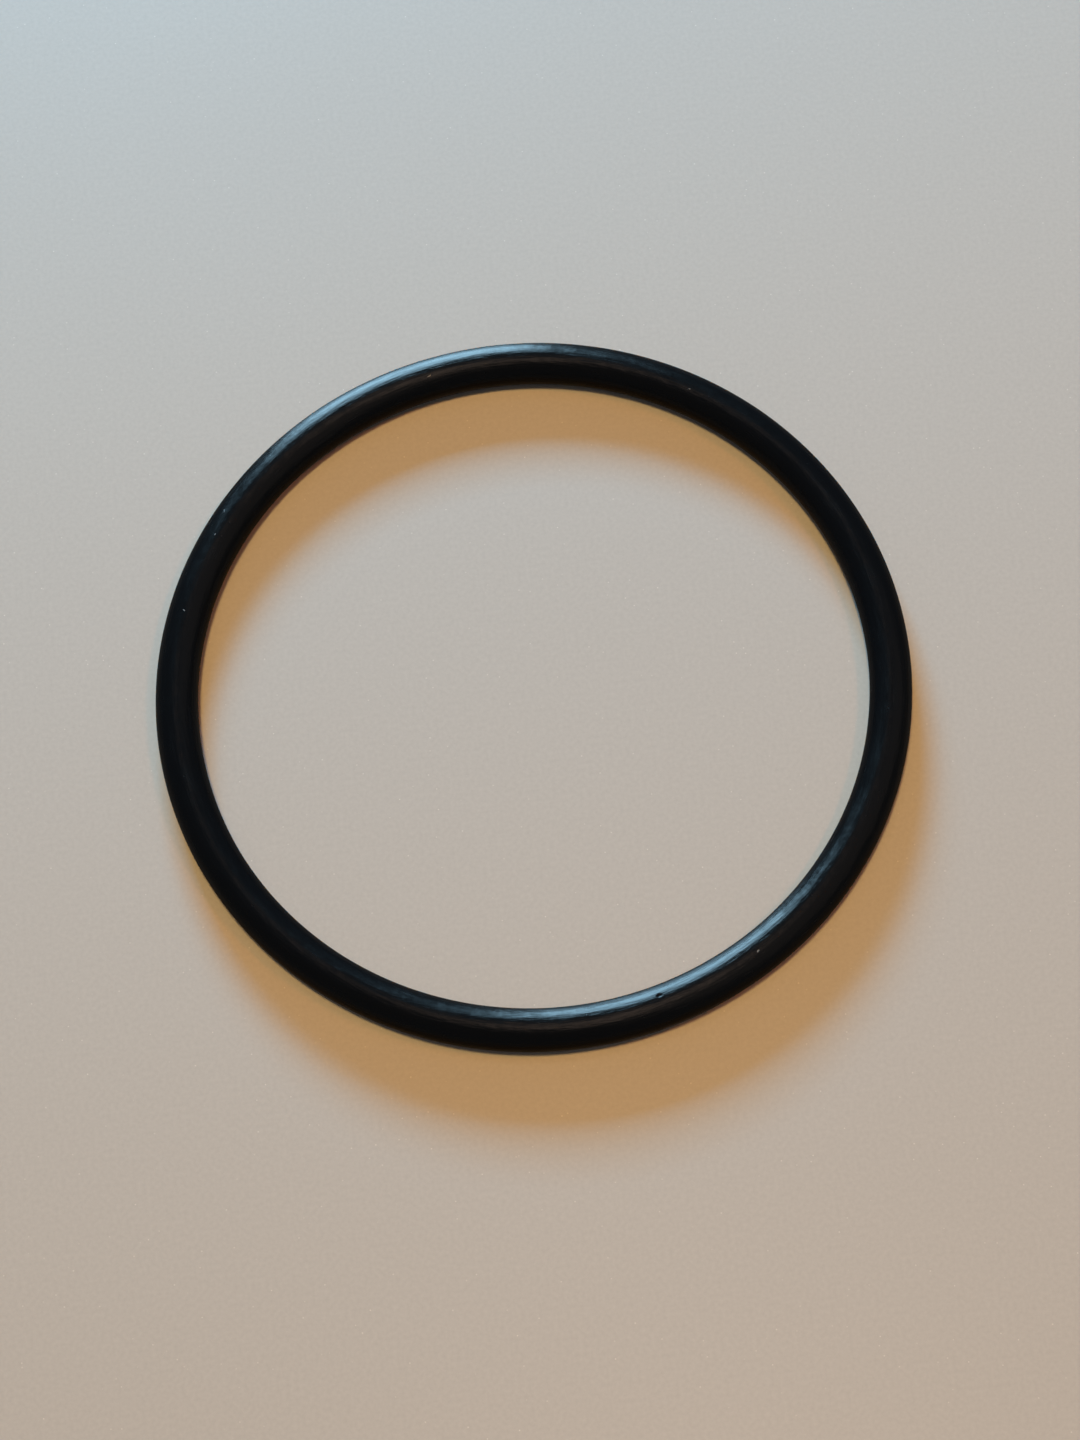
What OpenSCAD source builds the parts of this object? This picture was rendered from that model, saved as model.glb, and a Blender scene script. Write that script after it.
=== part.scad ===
// Rubber o-ring: one endless ring of solid rubber with a round section, lying flat.
// Frame: origin at the ring's centre, half way up its section, with +Z along its axis.

/* [Ring] */
// Inside diameter of the relaxed ring, the first of the two sizes it is ordered by
inside_d = 55; // [8:0.01:300]
// Diameter of the round section, the second of the two sizes
section_d = 3.5; // [1:0.01:7]

/* [Smoothness] */
// Segments drawn around the ring
ring_segments = 180; // [48:4:360]
// Segments drawn around the section
section_segments = 48; // [24:4:96]

/* [Hidden] */

// Radius of the circle that the section's centre follows around the axis
centre_r = (inside_d + section_d) / 2;

rubber_black = [0.025, 0.025, 0.03];

// The round section, standing in the plane that is swept around the axis
module section() {
    translate([centre_r, 0])
        circle(d = section_d, $fn = section_segments);
}

// The ring, moulded whole, with no joint in the cord
module o_ring() {
    color(rubber_black)
        rotate_extrude($fn = ring_segments)
            section();
}

o_ring();
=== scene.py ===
"""A black rubber o-ring lying on a pale satin desk top, under soft studio light.

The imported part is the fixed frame: its origin is the ring's centre, half way up the section, with +Z along
the ring's axis. Lengths are metres, and names that end in _mm are millimetres. Around the ring, phi runs
counter-clockwise from +X. Around the section, theta runs from the outer line, over the top, to the inner
line.
"""
import logging
import math
from dataclasses import dataclass, field
from enum import Enum
from typing import ClassVar

import bpy
import numpy as np
from mathutils import Matrix, Vector


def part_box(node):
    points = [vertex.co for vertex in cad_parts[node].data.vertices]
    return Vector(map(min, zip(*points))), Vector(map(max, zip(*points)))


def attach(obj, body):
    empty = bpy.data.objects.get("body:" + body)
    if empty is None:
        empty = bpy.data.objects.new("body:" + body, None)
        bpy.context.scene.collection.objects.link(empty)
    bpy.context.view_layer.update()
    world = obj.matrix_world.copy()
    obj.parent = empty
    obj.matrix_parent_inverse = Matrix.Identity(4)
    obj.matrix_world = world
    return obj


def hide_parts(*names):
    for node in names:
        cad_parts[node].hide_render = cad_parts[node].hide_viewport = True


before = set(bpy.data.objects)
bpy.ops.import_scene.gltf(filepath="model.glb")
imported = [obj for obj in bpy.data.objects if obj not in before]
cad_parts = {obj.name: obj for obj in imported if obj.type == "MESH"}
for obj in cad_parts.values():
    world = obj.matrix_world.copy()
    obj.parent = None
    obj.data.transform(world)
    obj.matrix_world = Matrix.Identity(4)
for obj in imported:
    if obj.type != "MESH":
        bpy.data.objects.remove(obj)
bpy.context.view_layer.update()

LOG = logging.getLogger("o_ring_scene")
MM = 0.001
TURN = 2.0 * math.pi
Sockets = dict[str, bpy.types.NodeSocket]
# Steps over one turn in the running total that spreads the grid lines.
FINE_STEPS = 20000


def linear_rgb(colour: str) -> tuple[float, float, float]:
    """Turns an sRGB hex colour into linear light.

    Args:
        colour: six hex digits after a hash sign.

    Returns:
        Red, green and blue, each from 0 to 1.
    """
    values = (int(colour[at:at + 2], 16) / 255.0 for at in (1, 3, 5))
    return tuple(v / 12.92 if v <= 0.04045 else ((v + 0.055) / 1.055) ** 2.4 for v in values)


def rgba(colour: str) -> tuple[float, float, float, float]:
    """Gives an sRGB hex colour as linear light with full alpha."""
    return (*linear_rgb(colour), 1.0)


def add_node(tree: bpy.types.NodeTree, kind: str, settings: dict | None = None,
             inputs: dict | None = None) -> bpy.types.Node:
    """Adds a node with its settings and its links.

    Args:
        tree: the node tree that the node joins.
        kind: the node's type name.
        settings: properties to set on the node.
        inputs: for each input, by name or number, a value or the output socket that feeds it.

    Returns:
        The new node.
    """
    node = tree.nodes.new(kind)
    for name, value in (settings or {}).items():
        setattr(node, name, value)
    for name, value in (inputs or {}).items():
        if isinstance(value, bpy.types.NodeSocket):
            tree.links.new(value, node.inputs[name])
        else:
            node.inputs[name].default_value = value
    return node


def empty_material(name: str) -> tuple[bpy.types.Material, bpy.types.NodeTree]:
    """Makes a material with an empty node tree.

    Args:
        name: the material's name.

    Returns:
        The material and its tree.
    """
    material = bpy.data.materials.new(name)
    material.use_nodes = True
    material.node_tree.nodes.clear()
    return material, material.node_tree


def calc(tree: bpy.types.NodeTree, operation: str, *values: float | bpy.types.NodeSocket,
         clamp: bool = False) -> bpy.types.NodeSocket:
    """Adds one step of arithmetic.

    Args:
        tree: the node tree.
        operation: the Math node's operation.
        values: numbers or output sockets, in the node's own order.
        clamp: whether the result is kept from 0 to 1.

    Returns:
        The result's socket.
    """
    settings = {"operation": operation, "use_clamp": clamp}
    return add_node(tree, "ShaderNodeMath", settings, dict(enumerate(values))).outputs[0]


def turned(angles: np.ndarray, start: float) -> np.ndarray:
    """Gives angles as seen from a start angle, from minus half a turn to half a turn."""
    return (angles - start + math.pi) % TURN - math.pi


def crowded(count: int, peaks: list[tuple[float, float, float]]) -> np.ndarray:
    """Spreads angles over one turn, closer together where the surface needs more detail.

    The density is one plus, for each peak, its gain times a bell curve of the angle from the peak.
    The angles are where the running total of the density passes equal steps.

    Args:
        count: how many angles.
        peaks: (angle, half width, gain) for each place, with angles in radians.

    Returns:
        The angles, rising from 0, with the last one short of a full turn.
    """
    fine = np.linspace(0.0, TURN, FINE_STEPS + 1)
    density = np.ones_like(fine)
    for angle, half_width, gain in peaks:
        density += gain * np.exp(-(turned(fine, angle) / half_width) ** 2)
    total = np.concatenate(([0.0], np.cumsum((density[1:] + density[:-1]) / 2.0)))
    return np.interp(np.arange(count) * total[-1] / count, total, fine)


@dataclass(frozen=True)
class Nick:
    """A small cut in the rubber, where the ring was levered or pinched."""

    phi_deg: float
    theta_deg: float
    length_mm: float
    width_mm: float
    depth_mm: float


@dataclass(frozen=True)
class Fleck:
    """A pale fleck of dust or a short scuff that lies on the rubber."""

    phi_deg: float
    theta_deg: float
    length_mm: float
    width_mm: float
    lean_deg: float


@dataclass(frozen=True)
class NitrileRubber:
    """Black nitrile rubber (NBR filled with carbon black), moulded between two turned steel plates.

    Carbon black leaves almost no diffuse colour, so what shows is the gloss of the mould's finish. The
    turned plates leave fine lines around the ring, which break up the edge of a reflection, and trapped air
    leaves small pits. IOR 1.52 is typical of nitrile rubber.
    """

    colour: str = "#08090C"
    ior: float = 1.52
    roughness_low: float = 0.15
    roughness_high: float = 0.25
    # A real turned mould's lines are about 0.02 mm apart. They are drawn 0.2 mm apart to show.
    line_spacing_mm: float = 0.2
    line_length_mm: float = 1.8
    line_height_mm: float = 0.036
    # Slow unevenness of the moulded skin.
    wave_length_mm: float = 1.3
    wave_height_mm: float = 0.03
    # Air pits are 0.03 to 0.1 mm across, and are drawn 0.18 mm across and shallow to show faintly.
    # The cell size sets how far apart they lie.
    pit_cell_mm: float = 1.3
    pit_radius_mm: float = 0.09
    pit_depth_mm: float = 0.012
    # Mould release and handling leave the gloss uneven, in patches drawn out along the ring.
    film_across_mm: float = 0.5
    film_along_mm: float = 2.6
    # A fleck's outline breaks up into fibres and crumbs of about this size.
    ragged_across_mm: float = 0.12
    ragged_along_mm: float = 0.4
    fleck_colour: str = "#8F9296"
    # What a line, a pit and a fleck each add to the roughness.
    line_roughness: float = 0.08
    pit_roughness: float = 0.12
    fleck_roughness: float = 0.4

    def section_coordinates(self, tree: bpy.types.NodeTree, midline_r: float) -> Sockets:
        """Works out the place within the section from Object coordinates.

        Args:
            tree: the node tree.
            midline_r: radius of the section's centre line.

        Returns:
            Sockets "place" (x, y, z), "x", "y", "out" (radius beyond the centre line) and "up" (z).
        """
        place = add_node(tree, "ShaderNodeTexCoord").outputs["Object"]
        flat = add_node(tree, "ShaderNodeVectorMath", {"operation": "MULTIPLY"},
                        {0: place, 1: (1.0, 1.0, 0.0)})
        radius = add_node(tree, "ShaderNodeVectorMath", {"operation": "LENGTH"}, {0: flat.outputs[0]})
        split = add_node(tree, "ShaderNodeSeparateXYZ", None, {0: place})
        out = calc(tree, "SUBTRACT", radius.outputs["Value"], midline_r)
        return {"place": place, "x": split.outputs[0], "y": split.outputs[1], "out": out,
                "up": split.outputs[2]}

    def streaks(self, tree: bpy.types.NodeTree, at: Sockets, across_mm: float, along_mm: float,
                detail: float) -> bpy.types.NodeSocket:
        """Noise that is drawn out along the ring, with no seam anywhere.

        It is four-dimensional noise of x and y, both slow, and of the two section directions, both fast.

        Args:
            tree: the node tree.
            at: the section coordinates.
            across_mm: size of the noise across a streak.
            along_mm: size of the noise along the ring.
            detail: how many octaves of finer noise.

        Returns:
            The noise, about 0.5 on average.
        """
        slow, fast = 1.0 / (along_mm * MM), 1.0 / (across_mm * MM)
        vector = add_node(tree, "ShaderNodeCombineXYZ", None, {
            0: calc(tree, "MULTIPLY", at["x"], slow),
            1: calc(tree, "MULTIPLY", at["y"], slow),
            2: calc(tree, "MULTIPLY", at["out"], fast)})
        return add_node(tree, "ShaderNodeTexNoise", {"noise_dimensions": "4D"}, {
            "Vector": vector.outputs[0], "W": calc(tree, "MULTIPLY", at["up"], fast),
            "Scale": 1.0, "Detail": detail, "Roughness": 0.55}).outputs["Fac"]

    def fleck_mask(self, tree: bpy.types.NodeTree, at: Sockets, fleck: Fleck, midline_r: float,
                   section_r: float) -> bpy.types.NodeSocket:
        """Marks one fleck as a soft-edged oval on the skin.

        The distance to the fleck's centre is measured along its own length and width, each divided by half
        the fleck's size, and the mark fades from one to nothing over the oval's outer half.

        Args:
            tree: the node tree.
            at: the section coordinates.
            fleck: which fleck.
            midline_r: radius of the section's centre line.
            section_r: radius of the section.

        Returns:
            The mask, from 0 to 1.
        """
        phi, theta, lean = (math.radians(a) for a in (fleck.phi_deg, fleck.theta_deg, fleck.lean_deg))
        radial = Vector((math.cos(phi), math.sin(phi), 0.0))
        along = Vector((-math.sin(phi), math.cos(phi), 0.0))
        normal = radial * math.cos(theta) + Vector((0.0, 0.0, math.sin(theta)))
        across = normal.cross(along)
        centre = radial * midline_r + normal * section_r
        lengthwise = along * math.cos(lean) + across * math.sin(lean)
        widthwise = across * math.cos(lean) - along * math.sin(lean)
        offset = add_node(tree, "ShaderNodeVectorMath", {"operation": "SUBTRACT"},
                          {0: at["place"], 1: centre})
        squares = []
        for direction, size_mm in ((lengthwise, fleck.length_mm), (widthwise, fleck.width_mm)):
            axis = direction * (2.0 / (size_mm * MM))
            part = add_node(tree, "ShaderNodeVectorMath", {"operation": "DOT_PRODUCT"},
                            {0: offset.outputs[0], 1: axis})
            squares.append(calc(tree, "POWER", part.outputs["Value"], 2.0))
        squared = calc(tree, "ADD", *squares)
        return calc(tree, "MULTIPLY_ADD", squared, -2.0, 2.0, clamp=True)

    def make(self, midline_r: float, section_r: float, flecks: tuple[Fleck, ...]) -> bpy.types.Material:
        """Builds the material.

        Args:
            midline_r: radius of the section's centre line.
            section_r: radius of the section.
            flecks: the dust and scuffs that lie on it, one or more.

        Returns:
            The material.
        """
        material, tree = empty_material("nitrile_rubber_moulded")
        at = self.section_coordinates(tree, midline_r)
        lines = self.streaks(tree, at, self.line_spacing_mm, self.line_length_mm, 2.0)
        film = self.streaks(tree, at, self.film_across_mm, self.film_along_mm, 3.0)
        waves = add_node(tree, "ShaderNodeTexNoise", None, {
            "Vector": at["place"], "Scale": 1.0 / (self.wave_length_mm * MM), "Detail": 2.0}).outputs["Fac"]
        cells = add_node(tree, "ShaderNodeTexVoronoi", {"feature": "F1"}, {
            "Vector": at["place"], "Scale": 1.0 / (self.pit_cell_mm * MM),
            "Randomness": 1.0}).outputs["Distance"]
        pit_share = self.pit_radius_mm / self.pit_cell_mm
        pit = calc(tree, "MULTIPLY_ADD", cells, -1.0 / pit_share, 1.0, clamp=True)
        height = calc(tree, "MULTIPLY", lines, self.line_height_mm * MM)
        height = calc(tree, "MULTIPLY_ADD", waves, self.wave_height_mm * MM, height)
        height = calc(tree, "MULTIPLY_ADD", pit, -self.pit_depth_mm * MM, height)
        bump = add_node(tree, "ShaderNodeBump", None, {"Height": height, "Distance": 1.0, "Strength": 1.0})
        masks = [self.fleck_mask(tree, at, fleck, midline_r, section_r) for fleck in flecks]
        dust = masks[0]
        for mask in masks[1:]:
            dust = calc(tree, "MAXIMUM", dust, mask)
        ragged = self.streaks(tree, at, self.ragged_across_mm, self.ragged_along_mm, 1.0)
        dust = calc(tree, "MULTIPLY", dust, calc(tree, "MULTIPLY_ADD", ragged, 4.0, -1.2, clamp=True))
        colour = add_node(tree, "ShaderNodeMix", {"data_type": "RGBA"}, {
            "Factor": dust, 6: rgba(self.colour), 7: rgba(self.fleck_colour)}).outputs[2]
        span = self.roughness_high - self.roughness_low
        rough = calc(tree, "MULTIPLY_ADD", film, span * 2.0, self.roughness_low - span / 2.0)
        rough = calc(tree, "MULTIPLY_ADD", lines, self.line_roughness, rough)
        rough = calc(tree, "MULTIPLY_ADD", pit, self.pit_roughness, rough)
        rough = calc(tree, "MULTIPLY_ADD", dust, self.fleck_roughness, rough, clamp=True)
        shader = add_node(tree, "ShaderNodeBsdfPrincipled", None, {
            "Base Color": colour, "Roughness": rough, "IOR": self.ior, "Normal": bump.outputs[0]})
        add_node(tree, "ShaderNodeOutputMaterial", None, {"Surface": shader.outputs[0]})
        return material


@dataclass(frozen=True)
class SatinDeskTop:
    """Pale satin melamine on a desk top, pressed against a finely textured plate.

    It is nearly white, with a soft sheen at low angles. The plate leaves a fine grain, and pale specks
    painted into the colour stand for the grain's faint sparkle: painted glints. IOR 1.5 is typical of
    melamine resin.
    """

    colour: str = "#DEDBD7"
    # Painted shade in reflections: the desk shows this darker colour only to glossy rays, so its reflection
    # in the ring's lower side is dark, like a dark card held below the ring.
    reflection_shade_colour: str = "#5A5754"
    ior: float = 1.5
    roughness: float = 0.18
    # The roughness drifts by this much, over patches of this size.
    cloud_mm: float = 18.0
    cloud_roughness: float = 0.08
    # The real grain is about 0.2 mm. It is drawn 0.35 mm to show.
    grain_mm: float = 0.35
    grain_height_mm: float = 0.004
    grain_contrast: float = 0.16
    # Painted glints: pale specks in the colour stand for the grain's faint sparkle. They are drawn 0.16 mm
    # across.
    glint_cell_mm: float = 1.0
    glint_radius_mm: float = 0.08
    glint_gain: float = 0.45

    def make(self) -> bpy.types.Material:
        """Builds the material.

        Returns:
            The material.
        """
        material, tree = empty_material("melamine_satin_pressed")
        place = add_node(tree, "ShaderNodeTexCoord").outputs["Object"]
        grain = add_node(tree, "ShaderNodeTexNoise", None, {
            "Vector": place, "Scale": 1.0 / (self.grain_mm * MM), "Detail": 2.0}).outputs["Fac"]
        cloud = add_node(tree, "ShaderNodeTexNoise", None, {
            "Vector": place, "Scale": 1.0 / (self.cloud_mm * MM), "Detail": 2.0}).outputs["Fac"]
        height = calc(tree, "MULTIPLY", grain, self.grain_height_mm * MM)
        bump = add_node(tree, "ShaderNodeBump", None, {"Height": height, "Distance": 1.0, "Strength": 1.0})
        rough = calc(tree, "MULTIPLY_ADD", cloud, self.cloud_roughness,
                     self.roughness - self.cloud_roughness / 2.0)
        # Pale specks painted into the colour: painted glints that stand for the grain's sparkle.
        cells = add_node(tree, "ShaderNodeTexVoronoi", {"feature": "F1"}, {
            "Vector": place, "Scale": 1.0 / (self.glint_cell_mm * MM),
            "Randomness": 1.0}).outputs["Distance"]
        glint_share = self.glint_radius_mm / self.glint_cell_mm
        painted_glint = calc(tree, "MULTIPLY_ADD", cells, -1.0 / glint_share, 1.0, clamp=True)
        bright = calc(tree, "MULTIPLY_ADD", grain, self.grain_contrast, 1.0 - self.grain_contrast / 2.0)
        bright = calc(tree, "MULTIPLY_ADD", painted_glint, self.glint_gain, bright)
        grained_with_glints = add_node(tree, "ShaderNodeMix", {"data_type": "RGBA", "blend_type": "MULTIPLY"}, {
            "Factor": 1.0, 6: rgba(self.colour), 7: bright}).outputs[2]
        # Painted shade: glossy rays see the darker colour, so the desk's reflection in the rubber is
        # darkened.
        seen_in_gloss = add_node(tree, "ShaderNodeLightPath").outputs["Is Glossy Ray"]
        colour = add_node(tree, "ShaderNodeMix", {"data_type": "RGBA"}, {
            "Factor": seen_in_gloss, 6: grained_with_glints, 7: rgba(self.reflection_shade_colour)}).outputs[2]
        shader = add_node(tree, "ShaderNodeBsdfPrincipled", None, {
            "Base Color": colour, "Roughness": rough, "IOR": self.ior, "Normal": bump.outputs[0]})
        add_node(tree, "ShaderNodeOutputMaterial", None, {"Surface": shader.outputs[0]})
        return material


def mesh_object(name: str, points: np.ndarray, faces: np.ndarray) -> bpy.types.Object:
    """Makes an object at the origin from points and four-cornered faces.

    Args:
        name: the object's name.
        points: one row of x, y, z for each point.
        faces: one row of four point numbers for each face.

    Returns:
        The object, with smooth faces, linked into the scene.
    """
    mesh = bpy.data.meshes.new(name)
    mesh.vertices.add(len(points))
    mesh.vertices.foreach_set("co", points.astype(np.float32).ravel())
    mesh.loops.add(faces.size)
    mesh.loops.foreach_set("vertex_index", faces.astype(np.int32).ravel())
    mesh.polygons.add(len(faces))
    mesh.polygons.foreach_set("loop_start", np.arange(0, faces.size, 4, dtype=np.int32))
    mesh.polygons.foreach_set("use_smooth", np.ones(len(faces), bool))
    mesh.update(calc_edges=True)
    mesh.validate()
    thing = bpy.data.objects.new(name, mesh)
    bpy.context.scene.collection.objects.link(thing)
    return thing


@dataclass
class MouldedRing:
    """The ring: one endless moulding with a round section and a trimmed parting line at mid height."""

    midline_r: float
    section_r: float
    flecks: tuple[Fleck, ...]
    around: int = 1330
    across: int = 72
    # Extra grid lines gather by the nick and by the parting lines: half width in radians, and gain.
    nick_crowd: tuple[float, float] = (math.radians(1.2), 6.0)
    line_crowd: tuple[float, float] = (0.16, 2.0)
    # The moulded section is never quite even: it runs this far under size in places.
    unevenness_mm: float = 0.012
    # Each slow wave: its share, how often it runs around the ring and the section, and its start.
    waves: tuple[tuple[float, int, int, float], ...] = (
        (0.25, 3, 0, 0.7), (0.15, 11, 2, 0.0), (0.10, 29, -1, 1.3))
    # Trimmed flash leaves a crest at mid height with a shallow trough on each side of it.
    flash_offset_mm: float = 0.12
    flash_width_mm: float = 0.07
    flash_depth_mm: float = 0.018
    nick: Nick = Nick(phi_deg=-75.1, theta_deg=105.5, length_mm=0.34, width_mm=0.17, depth_mm=0.12)
    rubber: NitrileRubber = NitrileRubber()

    def relief(self, phi: np.ndarray, theta: np.ndarray) -> np.ndarray:
        """Depth of the skin below the full section, never less than nothing.

        It is a sum of three things: half the unevenness plus each slow wave's sine times its share; two
        bell-shaped troughs beside each parting line; and one bell-shaped nick.

        Args:
            phi: angles around the ring.
            theta: angles around the section.

        Returns:
            The depth in metres.
        """
        slow = np.full_like(phi, 0.5)
        for share, around, across, start in self.waves:
            slow = slow + share * np.sin(around * phi + across * theta + start)
        depth = self.unevenness_mm * slow
        for line in (0.0, math.pi):
            arc_mm = turned(theta, line) * self.section_r / MM
            for side in (-1.0, 1.0):
                away = (arc_mm - side * self.flash_offset_mm) / self.flash_width_mm
                depth = depth + self.flash_depth_mm * np.exp(-away ** 2)
        nick = self.nick
        along = turned(phi, math.radians(nick.phi_deg)) * self.midline_r / MM / (nick.length_mm / 2.0)
        over = turned(theta, math.radians(nick.theta_deg)) * self.section_r / MM / (nick.width_mm / 2.0)
        return (depth + nick.depth_mm * np.exp(-along ** 2 - over ** 2)) * MM

    def surface(self, phi: np.ndarray, theta: np.ndarray) -> np.ndarray:
        """The skin: a circle of the section's radius, less the relief, carried around the centre line.

        Args:
            phi: angles around the ring.
            theta: angles around the section.

        Returns:
            Points, with x, y, z last.
        """
        radius = self.section_r - self.relief(phi, theta)
        out = self.midline_r + radius * np.cos(theta)
        return np.stack((out * np.cos(phi), out * np.sin(phi), radius * np.sin(theta)), axis=-1)

    def build(self) -> bpy.types.Object:
        """Builds the ring and dresses it.

        Returns:
            The ring's object.
        """
        nick_phi = math.radians(self.nick.phi_deg) % TURN
        nick_theta = math.radians(self.nick.theta_deg)
        phi = crowded(self.around, [(nick_phi, *self.nick_crowd)])
        theta = crowded(self.across, [(angle, *self.line_crowd) for angle in (0.0, math.pi, nick_theta)])
        points = self.surface(*np.meshgrid(phi, theta, indexing="ij")).reshape(-1, 3)
        here = np.arange(self.around)[:, None] * self.across + np.arange(self.across)[None, :]
        ahead = np.roll(here, -1, axis=0)
        faces = np.stack((here, ahead, np.roll(ahead, -1, axis=1), np.roll(here, -1, axis=1)), axis=-1)
        ring = mesh_object("moulded_ring", points, faces.reshape(-1, 4))
        ring.data.materials.append(self.rubber.make(self.midline_r, self.section_r, self.flecks))
        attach(ring, "root")
        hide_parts("o_ring")
        return ring


class LightRole(Enum):
    """What a light does in the studio."""

    WINDOW_FILL = "window_fill"
    WINDOW_SHEEN = "window_sheen"
    LAMP = "overhead_lamp"
    CEILING_FILL = "ceiling_fill"
    CEILING_SHEEN = "ceiling_sheen"
    SIDE_FILL = "side_fill"
    SIDE_SHEEN = "side_sheen"


class Reach(Enum):
    """Which part of a surface's look a light feeds: its body colour or its gloss."""

    MATTE = "matte"
    GLOSS = "gloss"


@dataclass(frozen=True)
class StudioLight:
    """A flat light that faces the ring. Azimuth runs from +Y towards -X, and elevation up from the desk.

    The colour is linear light, and may pass 1 where a light is stronger in one colour.
    """

    # The window's sheen is even up to this share of its height, and then dies away at this rate.
    WINDOW_EVEN_SHARE: ClassVar[float] = 0.36
    WINDOW_FALL: ClassVar[float] = 1.88
    # The ceiling's sheen dies away at this rate with the squared distance from its middle.
    CEILING_FALL: ClassVar[float] = 16.0

    role: LightRole
    reach: Reach
    azimuth_deg: float
    elevation_deg: float
    distance: float
    width: float
    height: float
    colour: tuple[float, float, float]
    power: float
    turn_deg: float = 0.0
    centre_z: float | None = None

    def fade(self, tree: bpy.types.NodeTree) -> bpy.types.NodeSocket | float:
        """Gives the strength over the light's face.

        The window's sheen is even over its lower part, then dies away as an exponential of the height. The
        ceiling's is a bell curve of the distance from its middle. The others are even.

        Args:
            tree: the light's node tree.

        Returns:
            The strength's socket, or a plain 1 for an even light.
        """
        if self.role not in (LightRole.WINDOW_SHEEN, LightRole.CEILING_SHEEN):
            return 1.0
        face = add_node(tree, "ShaderNodeNewGeometry").outputs["Parametric"]
        split = add_node(tree, "ShaderNodeSeparateXYZ", None, {0: face})
        if self.role is LightRole.WINDOW_SHEEN:
            height = calc(tree, "SUBTRACT", split.outputs[1], self.WINDOW_EVEN_SHARE)
            above = calc(tree, "MAXIMUM", height, 0.0)
            return calc(tree, "EXPONENT", calc(tree, "MULTIPLY", above, -self.WINDOW_FALL))
        across = calc(tree, "POWER", calc(tree, "SUBTRACT", split.outputs[0], 0.5), 2.0)
        along = calc(tree, "POWER", calc(tree, "SUBTRACT", split.outputs[1], 0.5), 2.0)
        squared = calc(tree, "ADD", across, along)
        return calc(tree, "EXPONENT", calc(tree, "MULTIPLY", squared, -self.CEILING_FALL))

    def build(self) -> bpy.types.Object:
        """Places the light.

        Returns:
            The light's object.
        """
        data = bpy.data.lights.new(self.role.value, "AREA")
        data.shape = "ELLIPSE" if self.role in (LightRole.LAMP, LightRole.SIDE_FILL) else "RECTANGLE"
        data.size, data.size_y = self.width, self.height
        data.energy = self.power
        data.color = self.colour
        data.use_nodes = True
        tree = data.node_tree
        tree.nodes.clear()
        glow = add_node(tree, "ShaderNodeEmission", None, {"Strength": self.fade(tree)})
        add_node(tree, "ShaderNodeOutputLight", None, {"Surface": glow.outputs[0]})
        lamp = bpy.data.objects.new(self.role.value, data)
        azimuth, elevation = math.radians(self.azimuth_deg), math.radians(self.elevation_deg)
        away = Vector((-math.sin(azimuth) * math.cos(elevation), math.cos(azimuth) * math.cos(elevation),
                       math.sin(elevation)))
        place = away * self.distance
        if self.centre_z is not None:
            place.z = self.centre_z
        side = Vector((-math.cos(azimuth), -math.sin(azimuth), 0.0))
        facing = Matrix((side, away.cross(side), away)).transposed()
        turn = Matrix.Rotation(math.radians(self.turn_deg), 3, "Z")
        lamp.matrix_world = Matrix.Translation(place) @ (facing @ turn).to_4x4()
        lamp.visible_camera = False
        lamp.visible_glossy = self.reach is Reach.GLOSS
        lamp.visible_diffuse = self.reach is Reach.MATTE
        bpy.context.scene.collection.objects.link(lamp)
        return lamp


@dataclass
class Studio:
    """The desk top, the lights around it and the dim room."""

    floor_z: float
    desk_half: float = 4.0
    desk: SatinDeskTop = SatinDeskTop()
    room_colour: str = "#3A4046"
    room_strength: float = 1.0
    lights: list[StudioLight] = field(default_factory=lambda: [
        StudioLight(LightRole.WINDOW_FILL, Reach.MATTE, 8.5, 23.2, 0.42, 0.157, 0.092,
                    (0.155, 0.632, 1.0), 2.02),
        StudioLight(LightRole.LAMP, Reach.MATTE, 158.0, 84.0, 0.9, 0.12, 0.12,
                    (1.0, 0.62, 0.22), 3.3),
        StudioLight(LightRole.CEILING_FILL, Reach.MATTE, 180.0, 83.0, 1.0, 0.9, 0.9,
                    (1.0, 0.62, 0.30), 0.96),
        StudioLight(LightRole.SIDE_FILL, Reach.MATTE, -98.0, 65.0, 1.2, 0.12, 0.12,
                    (1.0, 0.25, 0.02), 1.4),
        StudioLight(LightRole.WINDOW_SHEEN, Reach.GLOSS, 10.5, 0.0, 0.42, 0.21, 0.43,
                    (0.57, 1.0, 1.3), 2.5, centre_z=0.215),
        StudioLight(LightRole.CEILING_SHEEN, Reach.GLOSS, -121.0, 86.7, 1.0, 0.5, 1.05,
                    (1.0, 0.74, 0.57), 1.9, turn_deg=-49.0),
        StudioLight(LightRole.SIDE_SHEEN, Reach.GLOSS, -105.0, 50.0, 1.0, 1.3, 1.0,
                    (1.0, 0.85, 0.75), 0.35),
    ])

    def build(self) -> None:
        """Builds the desk top, the lights and the room."""
        half = self.desk_half
        corners = np.array(((-half, -half), (half, -half), (half, half), (-half, half)))
        points = np.column_stack((corners, np.full(4, self.floor_z)))
        floor = mesh_object("desk_top", points, np.array([[0, 1, 2, 3]]))
        floor.data.materials.append(self.desk.make())
        for light in self.lights:
            light.build()
            LOG.info("light %s: %.1f W", light.role.value, light.power)
        room = bpy.data.worlds.new("dim_room")
        room.use_nodes = True
        tree = room.node_tree
        tree.nodes.clear()
        sky = add_node(tree, "ShaderNodeBackground", None, {
            "Color": rgba(self.room_colour), "Strength": self.room_strength})
        add_node(tree, "ShaderNodeOutputWorld", None, {"Surface": sky.outputs[0]})
        bpy.context.scene.world = room


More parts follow.
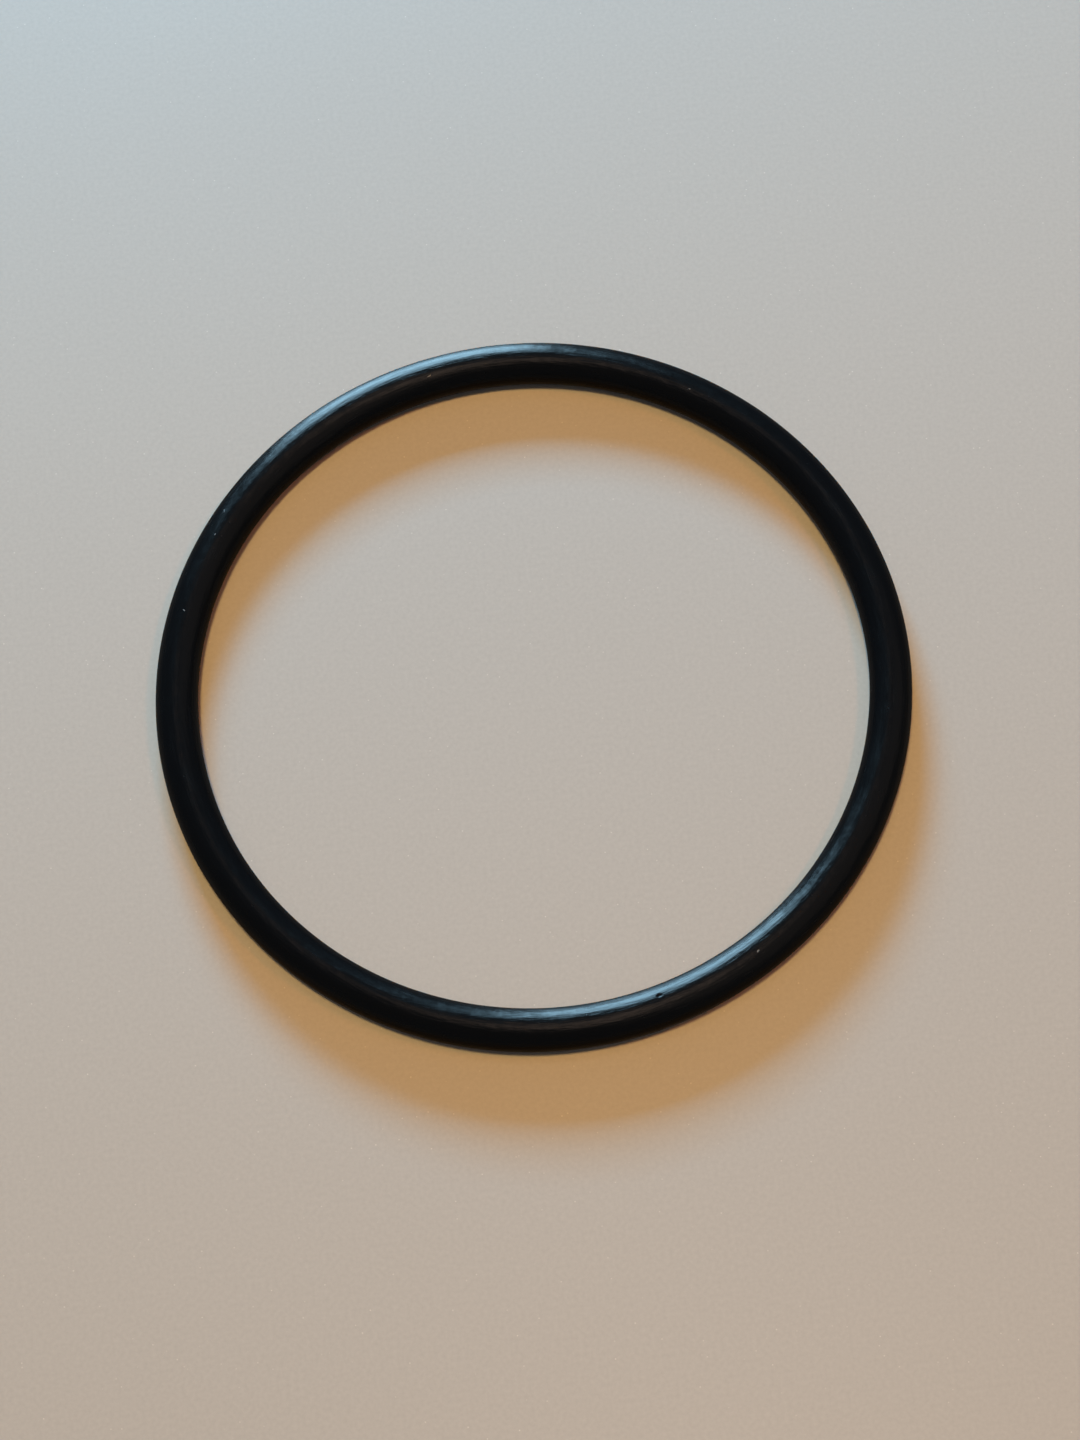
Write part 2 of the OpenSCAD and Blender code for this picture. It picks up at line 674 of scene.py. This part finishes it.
@dataclass(frozen=True)
class CloseUpCamera:
    """A hand-held close-up from nearly overhead, with the frame turned a little about the view."""

    elevation_deg: float = 69.27
    roll_deg: float = -5.96
    distance: float = 0.2925
    lens_mm: float = 89.26
    sensor_mm: float = 36.0
    aim_right_mm: float = 0.60
    aim_up_mm: float = -2.85
    clip_start: float = 0.01

    def build(self) -> bpy.types.Object:
        """Places the camera and makes it the scene's own.

        Returns:
            The camera's object.
        """
        elevation, roll = math.radians(self.elevation_deg), math.radians(self.roll_deg)
        back = Vector((0.0, -math.cos(elevation), math.sin(elevation)))
        level = Vector((1.0, 0.0, 0.0))
        upright = back.cross(level)
        right = level * math.cos(roll) + upright * math.sin(roll)
        up = upright * math.cos(roll) - level * math.sin(roll)
        place = back * self.distance + right * (self.aim_right_mm * MM) + up * (self.aim_up_mm * MM)
        data = bpy.data.cameras.new("close_up_camera")
        data.lens, data.sensor_width, data.sensor_fit = self.lens_mm, self.sensor_mm, "AUTO"
        data.clip_start = self.clip_start
        camera = bpy.data.objects.new("close_up_camera", data)
        camera.matrix_world = Matrix.Translation(place) @ Matrix((right, up, back)).transposed().to_4x4()
        bpy.context.scene.collection.objects.link(camera)
        bpy.context.scene.camera = camera
        return camera


def main() -> None:
    """Builds the ring, the studio and the camera."""
    logging.basicConfig(level=logging.INFO, format="%(name)s: %(message)s")
    low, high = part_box("o_ring")
    section_r = (high.z - low.z) / 2.0
    midline_r = (high.x - low.x) / 2.0 - section_r
    ring = MouldedRing(midline_r, section_r, flecks=(
        Fleck(143.6, 69.2, 0.40, 0.10, 35.0),
        Fleck(147.9, 83.7, 0.22, 0.10, -20.0),
        Fleck(161.9, 85.7, 0.28, 0.09, 60.0),
        Fleck(57.4, 99.5, 0.30, 0.09, 25.0),
        Fleck(102.0, 106.1, 0.45, 0.09, 12.0),
        Fleck(-58.2, 82.1, 0.30, 0.14, 10.0),
    )).build()
    LOG.info("%s: %d faces", ring.name, len(ring.data.polygons))
    Studio(floor_z=low.z).build()
    camera = CloseUpCamera().build()
    LOG.info("%s: lens %.1f mm", camera.name, camera.data.lens)
    bpy.context.scene.view_settings.view_transform = "Standard"


if __name__ == "__main__":
    main()
